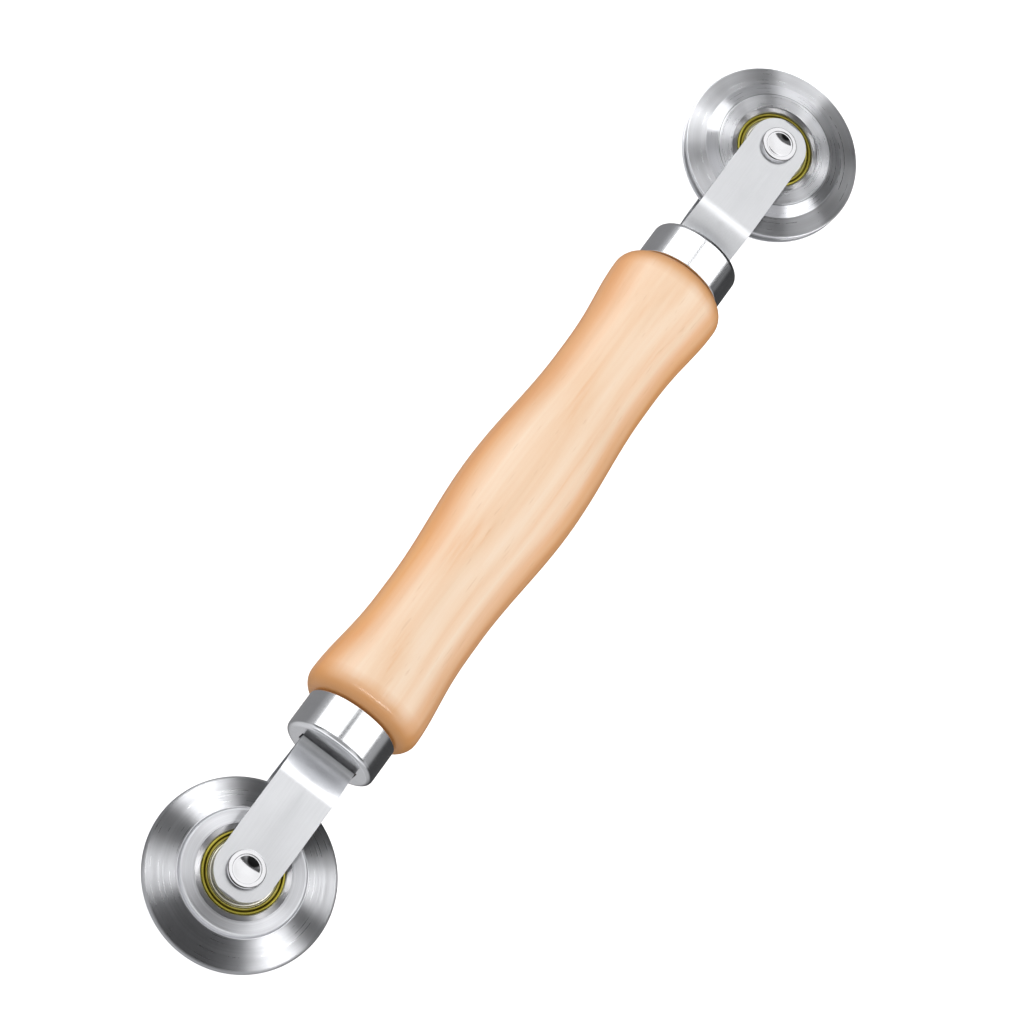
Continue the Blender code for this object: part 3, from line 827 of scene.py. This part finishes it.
def hub_bore():
    """The hub's bore from the bottom up, with a thin staked lip over the bearing on each side."""
    lip_r = 9.05 * MM
    lip_z = RACE_HALF + 0.02 * MM
    bore_r = RACE_R + 0.1 * MM
    upper = [(lip_r + 0.05 * MM, HUB_HALF), (lip_r, lip_z), (bore_r, lip_z)]
    return list(reversed(mirrored(upper)))


def convex_outline():
    """Raised hub ring, a shallow step, one straight cone and the round rim."""
    ring_r = 12.0 * MM
    rim = 0.9 * MM
    corners = [
        (9.3 * MM, HUB_HALF, 0.10 * MM),
        (ring_r, HUB_HALF, 0.55 * MM),
        (ring_r + 0.05 * MM, 2.30 * MM, 0.12 * MM),
        (ring_r + 0.30 * MM, 2.24 * MM, 0.10 * MM),
    ]
    upper = eased([(9.1 * MM, HUB_HALF, 0.0)] + corners + [(17.0 * MM, 0.9 * MM, 0.0)], 6)[:-1]
    upper += arc((WHEEL_R - rim, 0.0), rim, 76, 0, 10)
    return mirrored(upper)


def grooved_outline():
    """Flat hub face, a bevel, a broad conical outer band and the tread's round groove."""
    edge_half = 1.4 * MM
    groove_half = 0.95 * MM
    depth = 1.0 * MM
    corners = [
        (9.1 * MM, HUB_HALF, 0.0),
        (11.75 * MM, HUB_HALF, 0.12 * MM),
        (11.85 * MM, HUB_HALF - 0.10 * MM, 0.05 * MM),
        (12.05 * MM, HUB_HALF - 0.10 * MM, 0.10 * MM),
        (14.3 * MM, 2.10 * MM, 0.35 * MM),
        (WHEEL_R - 0.05 * MM, edge_half, 0.20 * MM),
        (WHEEL_R, groove_half, 0.10 * MM),
    ]
    upper = eased(corners, 6)
    steps = 12
    for index in range(steps + 1):
        angle = math.pi / 2 * index / steps
        upper.append((WHEEL_R - depth * math.sin(angle), groove_half * math.cos(angle)))
    return mirrored(upper)


def make_wheel(end, axle, body, finish):
    """The turned wheel, bored for the bearing."""
    outline = convex_outline() if end == "convex" else grooved_outline()
    bm = revolve(outline + hub_bore(), True, ROUND_STEPS, Matrix.Translation(axle))
    name = f"{end}_turned_wheel"
    finish_mesh(name, bm, body, [f"{end}_wheel"], finish, sharp=28.0)


# Bands of each wheel's face: radius, painted brightness (painted highlights and reflections on the bright
# bands, painted shade on the dark ones, such as the thin line at the grooved wheel's step), how evenly it is
# brushed.
FACE_ZONES = {
    "convex": ((9.0 * MM, 0.95, 0.35), (11.2 * MM, 0.95, 0.35), (11.5 * MM, 1.0, 1.0), (12.1 * MM, 1.0, 1.0),
               (12.3 * MM, 0.66, 0.0)),
    "grooved": ((9.0 * MM, 1.0, 0.0), (11.75 * MM, 1.0, 0.0), (11.9 * MM, 0.25, 0.0), (12.05 * MM, 0.95, 0.0),
                (14.25 * MM, 0.95, 0.0), (14.35 * MM, 0.64, 0.0), (17.9 * MM, 0.64, 0.0),
                (18.2 * MM, 1.0, 0.4)),
}
# The band whose tool marks face outwards: its inner and outer radius, and the slope.
FACE_LEANS = {"convex": None, "grooved": (12.05 * MM, 14.3 * MM, 0.75)}


def build_object():
    """Every piece of the roller, with its finish."""
    make_handle()
    ferrule = chrome_finish("ferrule_chrome")
    rivet = chrome_finish("rivet_chrome", (0.88, 0.88, 0.90), 0.08)
    ball = chrome_finish("ball_polish", (0.80, 0.81, 0.83), 0.05)
    strap = satin_finish("satin_strip")
    zinc = satin_finish("zinc_plate", (0.62, 0.63, 0.64), 0.40)
    nylon = nylon_finish("cage_moulding")
    for end, way in ENDS.items():
        axle = Vector((way * AXLE_X, 0.0, 0.0))
        wheel_body = f"{end}_wheel_body"
        cage_body = f"{end}_cage_body"
        ground = turned_steel(f"{end}_ground_ring", axle, (0.94, 0.94, 0.96), 0.34, 1.0)
        pressed = turned_steel(f"{end}_pressed_shield", axle, (0.86, 0.84, 0.74), 0.30, 0.4)
        lathe = turned_steel(f"{end}_lathe_face", axle, (0.90, 0.91, 0.94), 0.32, 1.0, FACE_ZONES[end],
                             FACE_LEANS[end])
        make_ferrule(end, way, ferrule)
        make_fork(end, way, strap)
        make_tang_pin(end, zinc)
        make_rivet(end, axle, rivet)
        make_washers(end, axle, zinc)
        make_races(end, axle, wheel_body, ground)
        make_shields(end, axle, wheel_body, pressed, brass_finish(f"{end}_snap_ring_yellow", axle))
        make_balls(end, cage_body, ball)
        make_cage(end, axle, cage_body, nylon)
        make_wheel(end, axle, wheel_body, lathe)


# ---------------------------------------------------------------- stage, light and camera

CAMERA_AZIMUTH = 170.7      # from +X towards +Y, in degrees
CAMERA_ELEVATION = 66.8     # above the horizon, in degrees
CAMERA_ROLL = 46.4          # anticlockwise, in degrees
CAMERA_DISTANCE = 0.700
CAMERA_AIM = Vector((-0.0034, -0.0008, 0.0))
LENS = 128.5                # mm, on a 36 mm sensor


def direction(azimuth, elevation):
    """The unit vector towards an azimuth from +X and an elevation, in degrees."""
    turn, rise = math.radians(azimuth), math.radians(elevation)
    return Vector((math.cos(rise) * math.cos(turn), math.cos(rise) * math.sin(turn), math.sin(rise)))


def make_camera():
    data = bpy.data.cameras.new("camera")
    data.lens = LENS
    data.sensor_width = 36.0
    data.clip_start = 0.01
    data.clip_end = 50.0
    camera = bpy.data.objects.new("camera", data)
    bpy.context.scene.collection.objects.link(camera)
    towards = direction(CAMERA_AZIMUTH, CAMERA_ELEVATION)
    camera.location = CAMERA_AIM + towards * CAMERA_DISTANCE
    level = (-towards).to_track_quat("-Z", "Y").to_matrix().to_4x4()
    rolled = level @ Matrix.Rotation(math.radians(CAMERA_ROLL), 4, "Z")
    camera.rotation_euler = rolled.to_euler()
    bpy.context.scene.camera = camera


def make_floor():
    """A plain pale floor that the handle lies on. It is only looked at: it lights and shades nothing."""
    bm = bmesh.new()
    bmesh.ops.create_grid(bm, x_segments=1, y_segments=1, size=6.0)
    bmesh.ops.translate(bm, vec=(0.0, 0.0, FLOOR_Z), verts=bm.verts)
    mesh = bpy.data.meshes.new("floor")
    bm.to_mesh(mesh)
    bm.free()
    nodes = Nodes("pale_floor")
    cloud = nodes.noise(nodes.place(), 3.0, detail=2.0)
    nodes.set(Base_Color=nodes.ramp(cloud, [(0.3, (0.86, 0.86, 0.86)), (0.7, (0.88, 0.88, 0.88))]),
              Roughness=0.9, Specular_IOR_Level=0.0, Emission_Strength=0.85)
    nodes.shader.inputs["Emission Color"].default_value = (1.0, 1.0, 1.0, 1.0)
    mesh.materials.append(nodes.material)
    floor = bpy.data.objects.new("floor", mesh)
    floor.visible_glossy = False
    floor.visible_diffuse = False
    floor.visible_shadow = False
    bpy.context.scene.collection.objects.link(floor)


# Brightness of the room by a direction's Z, of what is below the horizon by its Y, and of the wall by its X.
ROOM_BY_HEIGHT = ((-1.0, 0.3), (0.0, 0.34), (0.25, 0.50), (0.40, 0.09), (0.75, 0.08), (1.0, 0.14))
FLOOR_BY_SIDE = ((-1.0, 0.05), (-0.25, 0.07), (-0.12, 0.30), (0.2, 0.25), (1.0, 0.25))
WALL_BY_END = ((-1.0, 0.50), (-0.45, 0.38), (-0.15, 0.0), (1.0, 0.0))
# Black flags: direction, cosines where each is fully dark and fully open, and the light that it lets through.
FLAGS = (((-0.55, 0.0, 0.835), 0.90, 0.84, 0.03), ((0.80, -0.56, 0.21), 0.92, 0.78, 0.12))
SOFTBOX_DISTANCE = 0.80     # from every panel to what it faces
# For each wheel, where its faces shine: direction round the axle and tilt in degrees, size and radiance.
WHEEL_STREAKS = {
    "convex": ((62, 16, 0.24, 7.0), (239, 16, 0.24, 6.5), (-63, 16, 0.24, 4.5), (125, 16, 0.24, 3.6)),
    "grooved": ((12, 17, 0.24, 5.6), (112, 20, 0.30, 3.8), (-123, 40, 0.50, 3.6), (98, 42, 0.50, 2.6),
                (82, 16, 0.40, 1.6), (158, 16, 0.34, 2.6)),
}
# The same for the ground face of each bearing's outer ring.
RING_STREAKS = {
    "convex": ((117, 16, 0.24, 7.0), (-125, 20, 0.16, 9.0), (70, 20, 0.16, 6.0)),
    "grooved": ((30, 18, 0.18, 8.0), (-37, 18, 0.18, 8.0), (-78, 20, 0.18, 8.0), (-112, 20, 0.16, 8.0)),
}
# For each end, the panels that light its strap: angle from overhead to +X in degrees, width, radiance.
STRAP_PANELS = {
    "convex": ((50, 0.66, 2.2), (12, 0.26, 0.95), (92, 0.90, 0.50)),
    "grooved": ((33, 0.24, 1.3), (0, 0.46, 1.65), (-38, 0.50, 0.80), (-72, 0.50, 0.50)),
}
STRAP_PANEL_ACROSS = 0.70   # size of those panels across the strap
# The panel over each rivet: angle from overhead to +X in degrees, size across and along the strap, radiance.
RIVET_PANELS = {"convex": (37, (2.3, 1.20), 0.92), "grooved": (40, (2.3, 1.06), 0.92)}
# These pieces have panels of their own, so the large softboxes leave them out.
SEPARATELY_LIT = ("turned_wheel", "bearing_outer_ring", "bearing_inner_ring", "strap_fork", "hollow_rivet")
# Every panel that isn't for one end: direction, size, radiance, and the pieces that it lights or leaves out.
PANELS = {
    "softbox_left": ((0.36, 0.61, 0.70), (0.93, 0.60), 1.6, "EXCLUDE", SEPARATELY_LIT),
    "softbox_right": ((0.36, -0.52, 0.78), (0.98, 0.60), 1.6, "EXCLUDE", SEPARATELY_LIT),
    "softbox_top": ((-0.20, 0.0, 0.98), (0.9, 0.7), 0.85, "EXCLUDE",
                    SEPARATELY_LIT + ("polished_ferrule",)),
    "shoulder_strip": ((-0.60, 0.0, 0.80), (1.2, 0.05), 20.0, "INCLUDE", ("wood_handle",)),
    "handle_side_left": ((0.0, 0.96, 0.28), (0.9, 1.0), 1.0, "INCLUDE", ("wood_handle",)),
    "handle_side_right": ((0.0, -0.96, 0.28), (0.9, 1.0), 1.0, "INCLUDE", ("wood_handle",)),
    "ferrule_end_panel": ((-0.66, 0.0, 0.75), (1.8, 2.2), 0.34, "INCLUDE", ("polished_ferrule",)),
}


def pieces_named(*words):
    """The pieces whose names hold any of the words."""
    return [item for item in bpy.data.objects if any(word in item.name for word in words)]


def light_only(lamp, pieces, state="INCLUDE"):
    """Let a lamp light just these pieces, or with EXCLUDE everything but these."""
    group = bpy.data.collections.new(lamp.name + "_receivers")
    for piece in pieces:
        group.objects.link(piece)
    for member in group.collection_objects:
        member.light_linking.link_state = state
    lamp.light_linking.receiver_collection = group


def make_softbox(name, towards, size, radiance, target=Vector()):
    """A diffused panel that faces a target on the object; its first size is the one across the X axis."""
    data = bpy.data.lights.new(name, "AREA")
    data.shape = "RECTANGLE"
    data.size = size[0]
    data.size_y = size[1]
    data.energy = radiance * math.pi * size[0] * size[1]
    lamp = bpy.data.objects.new(name, data)
    facing = towards.normalized()
    across = Vector((1.0, 0.0, 0.0)).cross(facing).normalized()
    turn = Matrix((across, facing.cross(across), facing)).transposed()
    lamp.location = target + facing * SOFTBOX_DISTANCE
    lamp.rotation_euler = turn.to_euler()
    lamp.visible_camera = False
    bpy.context.scene.collection.objects.link(lamp)
    return lamp


def make_world():
    """White to look at; for light, a dim room with a lighter horizon, a pale wall at -X and black flags."""
    world = bpy.data.worlds.new("studio")
    bpy.context.scene.world = world
    world.use_nodes = True
    world.node_tree.nodes.clear()
    nodes = Tree(world.node_tree)
    towards = nodes.add("ShaderNodeTexCoord").outputs["Generated"]
    parts = nodes.parts(towards)
    layers = []
    for axis, stops in (("Z", ROOM_BY_HEIGHT), ("Y", FLOOR_BY_SIDE), ("X", WALL_BY_END)):
        share = nodes.range(parts[axis], -1.0, 1.0, 0.0, 1.0)
        layers.append(nodes.ramp(share, [((place + 1) / 2, (value, value, value * 1.02))
                                         for place, value in stops]))
    below_horizon = nodes.range(parts["Z"], 0.0, -0.12, 0.0, 1.0)
    colour = nodes.mix(1.0, nodes.mix(below_horizon, layers[0], layers[1]), layers[2], "ADD")
    strength = 1.0
    for flag, dark, clear, let_through in FLAGS:
        closeness = nodes.add("ShaderNodeVectorMath", operation="DOT_PRODUCT")
        nodes.link(towards, closeness.inputs[0])
        closeness.inputs[1].default_value = flag
        share = nodes.range(closeness.outputs["Value"], dark, clear, let_through, 1.0)
        strength = nodes.math("MULTIPLY", share, strength)
    room = nodes.add("ShaderNodeBackground")
    nodes.link(colour, room.inputs["Color"])
    nodes.link(strength, room.inputs["Strength"])
    backdrop = nodes.add("ShaderNodeBackground")
    backdrop.inputs["Color"].default_value = (1.0, 1.0, 1.0, 1.0)
    mix = nodes.add("ShaderNodeMixShader")
    nodes.link(nodes.add("ShaderNodeLightPath").outputs["Is Camera Ray"], mix.inputs[0])
    nodes.link(room.outputs[0], mix.inputs[1])
    nodes.link(backdrop.outputs[0], mix.inputs[2])
    out = nodes.add("ShaderNodeOutputWorld")
    nodes.link(mix.outputs[0], out.inputs["Surface"])


def light_studio():
    """The room, the panels for the whole object, and at each end those for its wheel, strap and rivet."""
    make_world()
    for name, (towards, size, radiance, state, words) in PANELS.items():
        lamp = make_softbox(name, Vector(towards), size, radiance)
        light_only(lamp, pieces_named(*words), state)
    # A sheen on the lacquer only: it would bleach the colour under it.
    bpy.data.objects["shoulder_strip"].visible_diffuse = False
    for end, way in ENDS.items():
        axle = Vector((way * AXLE_X, 0.0, 0.0))
        view = (bpy.context.scene.camera.location - axle).normalized()
        for kind, streaks, words in (("face", WHEEL_STREAKS, ("turned_wheel", "bearing_inner")),
                                     ("ring", RING_STREAKS, ("bearing_outer",))):
            lit = pieces_named(*[f"{end}_{word}" for word in words])
            for angle, tilt, size, radiance in streaks[end]:
                normal = direction(angle, 90 - tilt)
                towards = 2 * normal.dot(view) * normal - view
                lamp = make_softbox(f"{end}_{kind}_streak_{angle}", towards, (size, size), radiance, axle)
                light_only(lamp, lit)
        for angle, width, radiance in STRAP_PANELS[end]:
            size = (STRAP_PANEL_ACROSS, width)
            lamp = make_softbox(f"{end}_strap_panel_{angle}", direction(0, 90 - angle), size, radiance, axle)
            light_only(lamp, pieces_named(f"{end}_strap_fork"))
        angle, size, radiance = RIVET_PANELS[end]
        lamp = make_softbox(f"{end}_rivet_panel", direction(0, 90 - angle), size, radiance, axle)
        light_only(lamp, pieces_named(f"{end}_hollow_rivet"))
    settings = bpy.context.scene.view_settings
    settings.view_transform = "Standard"
    settings.look = "None"
    settings.exposure = 0.0


make_camera()
build_object()
make_floor()
light_studio()
